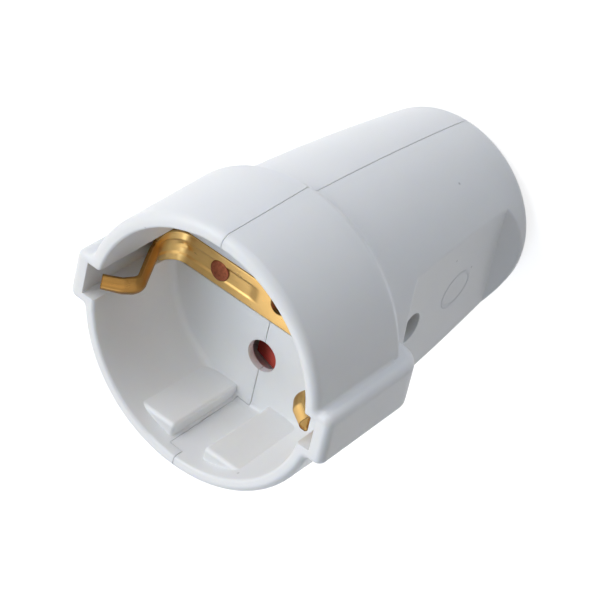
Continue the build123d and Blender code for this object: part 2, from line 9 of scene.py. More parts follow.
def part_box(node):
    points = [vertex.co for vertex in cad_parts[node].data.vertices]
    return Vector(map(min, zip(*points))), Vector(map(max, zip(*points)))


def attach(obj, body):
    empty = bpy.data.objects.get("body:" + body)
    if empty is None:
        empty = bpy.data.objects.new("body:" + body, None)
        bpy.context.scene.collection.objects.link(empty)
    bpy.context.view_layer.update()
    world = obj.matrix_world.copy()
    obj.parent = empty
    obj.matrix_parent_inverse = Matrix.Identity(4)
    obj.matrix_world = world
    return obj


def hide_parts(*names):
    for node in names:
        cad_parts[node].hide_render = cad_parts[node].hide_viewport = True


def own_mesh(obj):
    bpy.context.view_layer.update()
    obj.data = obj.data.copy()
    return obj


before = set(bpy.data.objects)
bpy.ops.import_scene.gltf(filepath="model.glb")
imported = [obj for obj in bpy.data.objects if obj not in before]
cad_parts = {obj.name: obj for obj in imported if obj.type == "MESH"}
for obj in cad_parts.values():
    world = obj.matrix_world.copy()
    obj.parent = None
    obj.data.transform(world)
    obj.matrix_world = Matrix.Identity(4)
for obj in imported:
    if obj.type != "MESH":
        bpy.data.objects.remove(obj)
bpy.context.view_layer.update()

bl_info = {
    "name": "Trailing Socket",
    "version": (1, 0, 0),
    "blender": (4, 5, 0),
    "location": "3D View > Sidebar > Trailing Socket",
    "description": "Finishes the packed rewirable socket: moulded shells, folded brass earth strip, stage",
    "category": "Object",
}

MM = 0.001
SHELL_LOW, SHELL_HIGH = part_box("shell_right")
RIM_Z = SHELL_HIGH.z
STRIP_LOW, STRIP_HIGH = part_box("earth_strip")
RIVET_LOW, RIVET_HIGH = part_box("earth_rivet")
SPRING_LOW, SPRING_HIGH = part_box("shutter_spring")

# Side view of the strip's right half: along the floor of the well, up the arm and out to the tip
STRIP_MID_Z = RIM_Z - 17.8 * MM
ARM_CORNERS = [
    (0.0, STRIP_MID_Z),
    (21.8 * MM, STRIP_MID_Z),
    (15.2 * MM, RIM_Z - 4.9 * MM),
    (16.8 * MM, RIM_Z - 2.7 * MM),
    (19.5 * MM, RIM_Z - 0.9 * MM),
]
ARM_BEND_RADII = [3.3 * MM, 1.8 * MM, 1.5 * MM]
# Heights between which the strip narrows into an arm, its panel ends and its section becomes an arch
TAPER_Z = (RIM_Z - 15.4 * MM, RIM_Z - 12.6 * MM)
PANEL_ENDS_Z = (TAPER_Z[0] + 0.6 * MM, TAPER_Z[1])
ARCH_STARTS_Z = (TAPER_Z[0], TAPER_Z[1] + 1.0 * MM)
# Middle of the plain hole in the strip
STRIP_HOLE = (0.9 * MM, 0.85 * MM)
# Places on the strip, as runs from its middle towards a tip
PANEL_FADES_IN = (2.8 * MM, 4.8 * MM)
PANEL_SLOPE = 0.3 * MM
DENT_RUN = 17.4 * MM
DENT_SIDE = 0.35 * MM
DENT_HALF_LENGTH = 2.0 * MM
DENT_HALF_WIDTH = 0.6 * MM
# Each tip is closed behind into a solid half round, between these distances from its end
TIP_CLOSES = (1.8 * MM, 0.6 * MM)
# The end itself is dished this deep, over this share of its size
TIP_DISH = 0.3 * MM
TIP_DISH_SHARE = 0.72
# Painted shade on the left arm, which faces away from the light: from bare brass to brown, across and up
ARM_SHADE_X = (-9.0 * MM, -13.0 * MM)
ARM_SHADE_Z = (STRIP_MID_Z + 2.0 * MM, STRIP_MID_Z + 5.5 * MM)
# How finely the strip's mesh follows its path, its face and its edges
STRIP_STEP = 0.25 * MM
FACE_LANES = 17
EDGE_STEPS = 8

# Rivet: its axis, its shank's radius, its tail, its head's dome as shares of radius and rise, and
# how far the head is out of round
RIVET_AXIS = ((RIVET_LOW.x + RIVET_HIGH.x) / 2, 0.0)
RIVET_SHANK = 1.6 * MM
RIVET_TAIL_HEIGHT = 0.8 * MM
RIVET_TAIL_ROUNDING = 0.2 * MM
RIVET_HEAD_SUNK = 0.02 * MM
RIVET_DOME = [(0.5, 0.95), (0.8, 0.75), (0.95, 0.4)]
RIVET_WOBBLE = 0.012

# Side view of the right grip scoop's flat face, from its front end to its foot
SCOOP_TOP = Vector((16.6 * MM, RIM_Z - 23.1 * MM))
SCOOP_FOOT = Vector((13.45 * MM, RIM_Z - 54.4 * MM))
RING_Z = RIM_Z - 43.3 * MM
# Section of the raised line, as shares of half its width and of its rise; its feet are sunk in the scoop
RING_SECTION = [(-1.0, -0.5), (-0.8, 0.35), (-0.45, 0.85), (0.0, 1.0), (0.45, 0.85), (0.8, 0.35), (1.0, -0.5)]
RING_TURNS = 96

# Shutter's spring, with the closed turns at each of its ends
SPRING_TURNS = 8.0
SPRING_CLOSED_TURNS = 1.0
SPRING_PLACES_PER_TURN = 32
WIRE_SIDES = 12

# Sides of a turned piece and of a drilled hole
ROUND_SIDES = 64
# An edge between two faces is shown round where they turn by less than this
SMOOTH_ANGLE = math.radians(40.0)

# ABS and nylon both bend light by about this much
PLASTIC_IOR = 1.53
# Sockets of a Mix node for colours, since its sockets for other values have the same names
MIX_A = 6
MIX_B = 7
MIX_RESULT = 2


def linear(hex_colour):
    """An sRGB hex colour as linear RGBA."""
    values = []
    for start in (1, 3, 5):
        part = int(hex_colour[start:start + 2], 16) / 255
        values.append(part / 12.92 if part <= 0.04045 else ((part + 0.055) / 1.055) ** 2.4)
    return (*values, 1.0)


def darker(colour, share):
    """The same colour with only this share of its light."""
    return [share * part for part in colour[:3]] + [1.0]


def colour_property(name, description, hex_colour):
    """A colour that a user may change, with its default as a hex value."""
    return FloatVectorProperty(
        name=name, description=description, default=linear(hex_colour),
        size=4, min=0.0, max=1.0, subtype="COLOR",
    )


def length_property(name, description, millimetres):
    """A length that a user may change, with its default in millimetres."""
    return FloatProperty(
        name=name, description=description, default=millimetres * MM,
        min=0.0, precision=5, unit="LENGTH", subtype="DISTANCE",
    )


class ShellSettings(bpy.types.PropertyGroup):
    """Look of the two moulded shells."""
    colour: colour_property("Shell colour", "Colour of the moulded ABS", "#eff1f3")
    roughness: FloatProperty(
        name="Gloss roughness", description="Roughness of the moulded surface",
        default=0.36, min=0.0, max=1.0, subtype="FACTOR",
    )
    edge: length_property("Edge softness", "Rounding that the mould leaves on every edge", 0.14)
    ring_half_width: length_property("Ring half width", "Half width of the plain raised ring", 2.7)
    ring_half_height: length_property("Ring half height", "Half height of the plain raised ring", 3.7)
    ring_band: length_property("Ring band", "Width of the raised line", 0.9)
    ring_rise: length_property("Ring rise", "Height of the raised line over the scoop", 0.07)


class StripSettings(bpy.types.PropertyGroup):
    """Size and look of the folded earth strip."""
    colour: colour_property("Brass colour", "Colour of the rolled brass", "#dfba78")
    dark_colour: colour_property("Film colour", "Colour in the darker patches of the brass", "#c69b56")
    # Colour of the painted shade on the left arm, and, darker, of the painted shade along the strip's edges
    shade_colour: colour_property("Shade colour", "Colour of the painted shade on the left arm", "#936a34")
    flat_thickness: length_property("Flat thickness", "Thickness across the floor of the well", 0.8)
    arm_thickness: length_property("Arm thickness", "Thickness of the sprung arms", 0.6)
    arm_half_width: length_property("Arm half width", "Half the width of a sprung arm", 1.6)
    tip_half_width: length_property("Tip half width", "Half the width at the very tip", 1.3)
    arm_crown: length_property("Arm crown", "Rise of the arched section of an arm", 1.1)
    arm_lift: length_property("Arm lift", "How far the arch's crest stands over the bent line", 0.35)
    edge: length_property("Edge rounding", "Rounding of the sheared edges", 0.14)
    panel_half_width: length_property("Panel half width", "Half the width of the pressed panel", 1.35)
    panel_depth: length_property("Panel depth", "Depth of the pressed panel", 0.18)
    dent_depth: length_property("Dent depth", "Depth of the stiffening dent in each bend", 0.28)
    hole_radius: length_property("Hole radius", "Radius of the hole in the middle", 1.5)


class SmallPartSettings(bpy.types.PropertyGroup):
    """Colours and sizes of the small pieces."""
    rivet: colour_property("Rivet colour", "Colour of the oxidised copper", "#a25a3c")
    rivet_head: length_property("Rivet head", "Radius of the rivet's head", 1.73)
    rivet_rise: length_property("Rivet rise", "Height of the rivet's head over the strip", 0.18)
    shutter: colour_property("Shutter colour", "Colour of the moulded shutter", "#dc5c50")
    contact: colour_property("Contact colour", "Colour of the contact brass", "#cfa95f")
    wire: length_property("Spring wire", "Radius of the spring's wire", 0.2)
    steel: colour_property("Steel colour", "Colour of the bright spring steel", "#b9bbbe")
    zinc: colour_property("Zinc colour", "Colour of the zinc plating", "#c4b78c")
    inner: colour_property("Inner plastic colour", "Colour of the guide plate and the clamp bar", "#d9d9d4")


class StageSettings(bpy.types.PropertyGroup):
    """Look of the floor and length of the lens."""
    floor: colour_property("Floor colour", "Colour of the plain floor", "#d4d4d4")
    lens: FloatProperty(
        name="Lens", description="Focal length on a 36 mm sensor, in millimetres",
        default=229.1, min=10.0, max=400.0, unit="CAMERA", subtype="DISTANCE_CAMERA",
    )


def add_node(tree, kind, inputs=None, **settings):
    """Adds a node; inputs are values or the sockets to link, settings are the node's own."""
    node = tree.nodes.new(kind)
    for name, value in settings.items():
        setattr(node, name, value)
    for name, value in (inputs or {}).items():
        if isinstance(value, bpy.types.NodeSocket):
            tree.links.new(value, node.inputs[name])
        else:
            node.inputs[name].default_value = value
    return node


def new_material(name):
    """An empty material with its shader and output, and coordinates in the row's own metres."""
    material = bpy.data.materials.new(name)
    material.use_nodes = True
    tree = material.node_tree
    tree.nodes.clear()
    shader = add_node(tree, "ShaderNodeBsdfPrincipled")
    add_node(tree, "ShaderNodeOutputMaterial", {"Surface": shader.outputs["BSDF"]})
    place = add_node(tree, "ShaderNodeTexCoord").outputs["Object"]
    return material, tree, shader, place


def grain_scale(millimetres):
    """Noise scale for a pattern whose spots are this far apart."""
    return 1.0 / (millimetres * MM)


def stretched_noise(value, low, high):
    """Map Range inputs that bring a noise value from its usual middle range to low and high."""
    return {"Value": value, "From Min": 0.3, "From Max": 0.7, "To Min": low, "To Max": high}


def edge_shade_share(tree, reach):
    """1 along the edges of a piece, where painted shade darkens them, and 0 on its open faces."""
    rounded = add_node(tree, "ShaderNodeBevel", {"Radius": reach}, samples=8)
    here = add_node(tree, "ShaderNodeNewGeometry")
    agree = add_node(tree, "ShaderNodeVectorMath", {
        0: rounded.outputs["Normal"], 1: here.outputs["Normal"],
    }, operation="DOT_PRODUCT")
    share = add_node(tree, "ShaderNodeMapRange", {
        "Value": agree.outputs["Value"],
        "From Min": 0.8, "From Max": 0.98, "To Min": 0.85, "To Max": 0.0,
    })
    return share.outputs["Result"]


def moulded_abs(name, colour, roughness, edge):
    """ABS, injection moulded in a polished tool: a soft even sheen that wavers a little where the
    plastic shrank, light that goes a millimetre or so into it, and a rare dark fleck."""
    # Between the shallow sinks where the plastic shrank
    shrink_mm = 7.0
    # Polishing marks of the tool are finer than this and are drawn as coarse as they need to show
    polish_mm = 0.5
    # Between the faint clouds in the white
    cloud_mm = 12.0
    # Between the dark flecks
    fleck_mm = 8.0
    material, tree, shader, place = new_material(name)
    shrink = add_node(tree, "ShaderNodeTexNoise", {
        "Vector": place, "Scale": grain_scale(shrink_mm), "Detail": 2.0,
    })
    polish = add_node(tree, "ShaderNodeTexNoise", {
        "Vector": place, "Scale": grain_scale(polish_mm), "Detail": 3.0,
    })
    level = add_node(tree, "ShaderNodeMath", {
        0: shrink.outputs["Fac"], 1: polish.outputs["Fac"],
    }, operation="ADD")
    level = add_node(tree, "ShaderNodeMath", {0: level.outputs["Value"], 1: 0.5}, operation="MULTIPLY")
    gloss = add_node(tree, "ShaderNodeMapRange", stretched_noise(
        level.outputs["Value"], roughness - 0.05, roughness + 0.05,
    ))
    tree.links.new(gloss.outputs["Result"], shader.inputs["Roughness"])
    cloud = add_node(tree, "ShaderNodeTexNoise", {
        "Vector": place, "Scale": grain_scale(cloud_mm), "Detail": 1.0,
    })
    clouded = add_node(tree, "ShaderNodeMapRange", stretched_noise(cloud.outputs["Fac"], 0.0, 1.0))
    tint = add_node(tree, "ShaderNodeMix", {
        "Factor": clouded.outputs["Result"], MIX_A: darker(colour, 0.985), MIX_B: list(colour),
    }, data_type="RGBA")
    cells = add_node(tree, "ShaderNodeTexVoronoi", {"Vector": place, "Scale": grain_scale(fleck_mm)})
    fleck = add_node(tree, "ShaderNodeMapRange", {
        "Value": cells.outputs["Distance"],
        "From Min": 0.015, "From Max": 0.035, "To Min": 0.45, "To Max": 0.0,
    })
    tint = add_node(tree, "ShaderNodeMix", {
        "Factor": fleck.outputs["Result"], MIX_A: tint.outputs[MIX_RESULT], MIX_B: darker(colour, 0.25),
    }, data_type="RGBA")
    tree.links.new(tint.outputs[MIX_RESULT], shader.inputs["Base Color"])
    shader.inputs["IOR"].default_value = PLASTIC_IOR
    shader.inputs["Subsurface Weight"].default_value = 0.3
    shader.inputs["Subsurface Radius"].default_value = (1.0, 0.85, 0.6)
    shader.inputs["Subsurface Scale"].default_value = 1.5 * MM
    rounded = add_node(tree, "ShaderNodeBevel", {"Radius": edge}, samples=6)
    waver = add_node(tree, "ShaderNodeBump", {
        "Height": shrink.outputs["Fac"], "Strength": 0.5, "Distance": 0.03 * MM,
        "Normal": rounded.outputs["Normal"],
    })
    skin = add_node(tree, "ShaderNodeBump", {
        "Height": polish.outputs["Fac"], "Strength": 0.25, "Distance": 0.01 * MM,
        "Normal": waver.outputs["Normal"],
    })
    tree.links.new(skin.outputs["Normal"], shader.inputs["Normal"])
    return material


def arm_shade_share(tree, place):
    """0 on bare brass and up to 1 where painted shade darkens the left arm, which faces away from the light.
    """
    split = add_node(tree, "ShaderNodeSeparateXYZ", {"Vector": place})
    shares = []
    for axis, (clean, brown) in (("X", ARM_SHADE_X), ("Z", ARM_SHADE_Z)):
        fade = add_node(tree, "ShaderNodeMapRange", {
            "Value": split.outputs[axis], "From Min": clean, "From Max": brown, "To Max": 0.95,
        }, interpolation_type="SMOOTHSTEP")
        shares.append(fade.outputs["Result"])
    both = add_node(tree, "ShaderNodeMath", {0: shares[0], 1: shares[1]}, operation="MULTIPLY")
    return both.outputs["Value"]


def rolled_brass(name, colour, dark, roughness, edge, shade_colour=None):
    """Brass strip, cold rolled and pressed: fine streaks along the strip, and a warm film of handling that
    darkens it in soft patches. The shade colour is painted shade: laid on one arm, which faces away from the
    light, and darker along the sheared edges. Edge is a rounding that the mesh doesn't have."""
    # Rolling streaks are finer than this and are drawn as coarse as they need to show
    streak_mm = 0.16
    streak_stretch = (0.06, 1.0, 0.12)
    # Between the patches of film
    film_mm = 3.2
    # Reach of the painted shade along the sheared edges
    edge_shade_reach = 0.3 * MM
    material, tree, shader, place = new_material(name)
    along = add_node(tree, "ShaderNodeMapping", {"Vector": place, "Scale": streak_stretch})
    streak = add_node(tree, "ShaderNodeTexNoise", {
        "Vector": along.outputs["Vector"], "Scale": grain_scale(streak_mm), "Detail": 3.0,
    })
    film = add_node(tree, "ShaderNodeTexNoise", {
        "Vector": place, "Scale": grain_scale(film_mm), "Detail": 3.0,
    })
    patches = add_node(tree, "ShaderNodeMapRange", stretched_noise(film.outputs["Fac"], 0.0, 0.45))
    tone = add_node(tree, "ShaderNodeMix", {
        "Factor": patches.outputs["Result"], MIX_A: list(colour), MIX_B: list(dark),
    }, data_type="RGBA")
    # Painted shade: the left arm darker where it faces away from the light, and darker still along the
    # sheared edges
    if shade_colour:
        tone = add_node(tree, "ShaderNodeMix", {
            "Factor": arm_shade_share(tree, place), MIX_A: tone.outputs[MIX_RESULT], MIX_B: list(shade_colour),
        }, data_type="RGBA")
        tone = add_node(tree, "ShaderNodeMix", {
            "Factor": edge_shade_share(tree, edge_shade_reach), MIX_A: tone.outputs[MIX_RESULT],
            MIX_B: darker(shade_colour, 0.4),
        }, data_type="RGBA")
    tree.links.new(tone.outputs[MIX_RESULT], shader.inputs["Base Color"])
    shader.inputs["Metallic"].default_value = 1.0
    gloss = add_node(tree, "ShaderNodeMath", {
        0: streak.outputs["Fac"], 1: film.outputs["Fac"],
    }, operation="MULTIPLY")
    gloss = add_node(tree, "ShaderNodeMapRange", {
        "Value": gloss.outputs["Value"], "From Min": 0.1, "From Max": 0.45,
        "To Min": roughness - 0.06, "To Max": roughness + 0.1,
    })
    tree.links.new(gloss.outputs["Result"], shader.inputs["Roughness"])
    rounded = add_node(tree, "ShaderNodeBevel", {"Radius": edge}, samples=6)
    grain = add_node(tree, "ShaderNodeBump", {
        "Height": streak.outputs["Fac"], "Strength": 0.4, "Distance": 0.012 * MM,
        "Normal": rounded.outputs["Normal"],
    })
    tree.links.new(grain.outputs["Normal"], shader.inputs["Normal"])
    return material


def oxidised_copper(name, colour):
    """Copper wire, upset cold into a rivet: a dull red-brown skin with small dark pits, painted shade round
    its rim and only a broad weak sheen."""
    # Between the pits
    pit_mm = 0.45
    # Reach of the painted shade round the rim of the head
    rim_shade_reach = 0.25 * MM
    material, tree, shader, place = new_material(name)
    pits = add_node(tree, "ShaderNodeTexNoise", {
        "Vector": place, "Scale": grain_scale(pit_mm), "Detail": 4.0,
    })
    pitted = add_node(tree, "ShaderNodeMapRange", stretched_noise(pits.outputs["Fac"], 0.0, 1.0))
    tone = add_node(tree, "ShaderNodeMix", {
        "Factor": pitted.outputs["Result"], MIX_A: darker(colour, 0.55), MIX_B: list(colour),
    }, data_type="RGBA")
    # Painted shade round the rim of the head
    tone = add_node(tree, "ShaderNodeMix", {
        "Factor": edge_shade_share(tree, rim_shade_reach), MIX_A: tone.outputs[MIX_RESULT], MIX_B: darker(colour, 0.3),
    }, data_type="RGBA")
    tree.links.new(tone.outputs[MIX_RESULT], shader.inputs["Base Color"])
    shader.inputs["Metallic"].default_value = 0.75
    gloss = add_node(tree, "ShaderNodeMapRange", stretched_noise(pits.outputs["Fac"], 0.62, 0.46))
    tree.links.new(gloss.outputs["Result"], shader.inputs["Roughness"])
    dents = add_node(tree, "ShaderNodeBump", {
        "Height": pits.outputs["Fac"], "Strength": 0.6, "Distance": 0.03 * MM,
    })
    tree.links.new(dents.outputs["Normal"], shader.inputs["Normal"])
    return material


def moulded_nylon(name, colour, edge):
    """Nylon, injection moulded and left satin: an even matt skin with a fine spark-eroded texture."""
    # Spark-eroded texture is finer than this and is drawn as coarse as it needs to show
    skin_mm = 0.3
    material, tree, shader, place = new_material(name)
    skin = add_node(tree, "ShaderNodeTexNoise", {
        "Vector": place, "Scale": grain_scale(skin_mm), "Detail": 2.0,
    })
    mottled = add_node(tree, "ShaderNodeMapRange", stretched_noise(skin.outputs["Fac"], 0.0, 1.0))
    tone = add_node(tree, "ShaderNodeMix", {
        "Factor": mottled.outputs["Result"], MIX_A: darker(colour, 0.9), MIX_B: list(colour),
    }, data_type="RGBA")
    tree.links.new(tone.outputs[MIX_RESULT], shader.inputs["Base Color"])
    gloss = add_node(tree, "ShaderNodeMapRange", stretched_noise(skin.outputs["Fac"], 0.42, 0.54))
    tree.links.new(gloss.outputs["Result"], shader.inputs["Roughness"])
    shader.inputs["IOR"].default_value = PLASTIC_IOR
    rounded = add_node(tree, "ShaderNodeBevel", {"Radius": edge}, samples=6)
    texture = add_node(tree, "ShaderNodeBump", {
        "Height": skin.outputs["Fac"], "Strength": 0.4, "Distance": 0.015 * MM,
        "Normal": rounded.outputs["Normal"],
    })
    tree.links.new(texture.outputs["Normal"], shader.inputs["Normal"])
    return material


def bright_metal(name, colour, roughness, mark_mm, edge):
    """Drawn or turned metal with a bright or plated skin: small marks that break the reflections
    and tint the skin a little. The real marks are finer than mark_mm, and are drawn as coarse as
    they need to show."""
    material, tree, shader, place = new_material(name)
    marks = add_node(tree, "ShaderNodeTexNoise", {
        "Vector": place, "Scale": grain_scale(mark_mm), "Detail": 3.0,
    })
    marked = add_node(tree, "ShaderNodeMapRange", stretched_noise(marks.outputs["Fac"], 0.0, 1.0))
    tone = add_node(tree, "ShaderNodeMix", {
        "Factor": marked.outputs["Result"], MIX_A: darker(colour, 0.82), MIX_B: list(colour),
    }, data_type="RGBA")
    tree.links.new(tone.outputs[MIX_RESULT], shader.inputs["Base Color"])
    shader.inputs["Metallic"].default_value = 1.0
    gloss = add_node(tree, "ShaderNodeMapRange", stretched_noise(
        marks.outputs["Fac"], roughness - 0.06, roughness + 0.08,
    ))
    tree.links.new(gloss.outputs["Result"], shader.inputs["Roughness"])
    rounded = add_node(tree, "ShaderNodeBevel", {"Radius": edge}, samples=6)
    skin = add_node(tree, "ShaderNodeBump", {
        "Height": marks.outputs["Fac"], "Strength": 0.3, "Distance": 0.01 * MM,
        "Normal": rounded.outputs["Normal"],
    })
    tree.links.new(skin.outputs["Normal"], shader.inputs["Normal"])
    return material


def finish_nodes(material, *names):
    """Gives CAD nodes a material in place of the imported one."""
    for name in names:
        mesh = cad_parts[name].data
        mesh.materials.clear()
        mesh.materials.append(material)


def mesh_piece(name, vertices, faces, material, body):
    """A new mesh piece that rides on a body, with the given material."""
    mesh = bpy.data.meshes.new(name)
    mesh.from_pydata([tuple(v) for v in vertices], [], faces)
    mesh.materials.append(material)
    work = bmesh.new()
    work.from_mesh(mesh)
    bmesh.ops.recalc_face_normals(work, faces=work.faces)
    for edge in work.edges:
        edge.smooth = len(edge.link_faces) == 2 and edge.calc_face_angle(0.0) < SMOOTH_ANGLE
    for face in work.faces:
        face.smooth = True
    work.to_mesh(mesh)
    work.free()
    piece = bpy.data.objects.new(name, mesh)
    bpy.context.scene.collection.objects.link(piece)
    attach(piece, body)
    return piece


def tube_faces(rings, count, closed=False):
    """Quads between rings of count points each, in turn; closed joins the last ring to the first."""
    faces = []
    for row in range(rings if closed else rings - 1):
        near = row * count
        next_ring = (row + 1) % rings * count
        for i in range(count):
            j = (i + 1) % count
            faces.append((near + i, near + j, next_ring + j, next_ring + i))
    return faces


def turned_piece(name, outline, axis, wobble, material, body):
    """A piece turned about a line along Z. The outline is (radius, z) from the middle of its top to
    the middle of its foot, and wobble is how far its round is out of true, in three and seven lobes."""
    vertices = []
    for radius, z in outline[1:-1]:
        for side in range(ROUND_SIDES):
            angle = math.tau * side / ROUND_SIDES
            lobes = math.sin(3 * angle + 0.7) + 0.6 * math.sin(7 * angle)
            reach = radius * (1 + wobble * lobes)
            vertices.append(Vector((axis[0] + reach * math.cos(angle), axis[1] + reach * math.sin(angle), z)))
    rings = len(outline) - 2
    faces = tube_faces(rings, ROUND_SIDES)
    for pole, first in ((outline[0], 0), (outline[-1], (rings - 1) * ROUND_SIDES)):
        vertices.append(Vector((axis[0], axis[1], pole[1])))
        for side in range(ROUND_SIDES):
            faces.append((len(vertices) - 1, first + side, first + (side + 1) % ROUND_SIDES))
    return mesh_piece(name, vertices, faces, material, body)


def rounded_path(points, radii, step):
    """Runs joined by arcs in the XZ plane, as places no further apart than step, or than half a
    step round an arc, each with its direction and its distance from the start."""
    corners = [Vector(p) for p in points]
    stretches = []
    here = corners[0]
    for index, radius in enumerate(radii, start=1):
        into = (corners[index] - corners[index - 1]).normalized()
        out = (corners[index + 1] - corners[index]).normalized()
        turn = math.atan2(into.x * out.y - into.y * out.x, into.dot(out))
        reach = radius * math.tan(abs(turn) / 2)
        start = corners[index] - into * reach
        stretches.append(("run", here, start, into))
        stretches.append(("arc", start, turn, into, radius))
        here = corners[index] + out * reach
    last = (corners[-1] - corners[-2]).normalized()
    stretches.append(("run", here, corners[-1], last))
    placed = []
    for kind, start, *rest in stretches:
        if kind == "run":
            end, along = rest
            count = max(1, math.ceil((end - start).length / step))
            placed += [(start.lerp(end, i / count), along) for i in range(count)]
        else:
            turn, along, radius = rest
            side = Vector((-along.y, along.x)) * math.copysign(1, turn)
            centre = start + side * radius
            count = max(4, math.ceil(abs(turn) * radius / (step / 2)))
            for i in range(count):
                angle = turn * i / count
                spin = Matrix.Rotation(angle, 2)
                placed.append((centre - spin @ (side * radius), spin @ along))
    placed.append((corners[-1], last))
    stations = []
    run = 0.0
    for index, (place, along) in enumerate(placed):
        run += (place - placed[max(0, index - 1)][0]).length
        stations.append((place, along, run))
    return stations


def smooth_step(value, low, high):
    """0 below low, 1 above high and a soft change between them."""
    share = min(1.0, max(0.0, (value - low) / (high - low)))
    return share * share * (3 - 2 * share)


def bell(value):
    """1 at 0, falling softly to 0 at 1 and beyond on both sides."""
    return 1 - smooth_step(abs(value), 0.0, 1.0)


class SOCKET_OT_shells(bpy.types.Operator):
    """Gives both shells their moulded finish"""
    bl_idname = "socket.shells"
    bl_label = "Moulded shells"

    def execute(self, context):
        look = context.scene.socket_shell
        material = moulded_abs("White_ABS_moulded", look.colour, look.roughness, look.edge)
        finish_nodes(material, "shell_left", "shell_right")
        return {"FINISHED"}


class SOCKET_OT_scoop_ring(bpy.types.Operator):
    """Raises a plain oval ring on the right grip scoop"""
    bl_idname = "socket.scoop_ring"
    bl_label = "Plain ring on the scoop"

    def execute(self, context):
        look = context.scene.socket_shell
        material = bpy.data.materials["White_ABS_moulded"]
        share = (RING_Z - SCOOP_FOOT.y) / (SCOOP_TOP.y - SCOOP_FOOT.y)
        middle = Vector((SCOOP_FOOT.x + share * (SCOOP_TOP.x - SCOOP_FOOT.x), 0.0, RING_Z))
        up_scoop = (SCOOP_TOP - SCOOP_FOOT).normalized()
        up = Vector((up_scoop.x, 0.0, up_scoop.y))
        out = Vector((up.z, 0.0, -up.x))
        vertices = []
        for turn in range(RING_TURNS):
            angle = math.tau * turn / RING_TURNS
            for across, rise in RING_SECTION:
                grow = across * look.ring_band / 2
                y = (look.ring_half_width + grow) * math.cos(angle)
                z = (look.ring_half_height + grow) * math.sin(angle)
                vertices.append(middle + Vector((0.0, y, 0.0)) + up * z + out * (rise * look.ring_rise))
        faces = tube_faces(RING_TURNS, len(RING_SECTION), closed=True)
        mesh_piece("scoop_ring", vertices, faces, material, "housing")
        return {"FINISHED"}


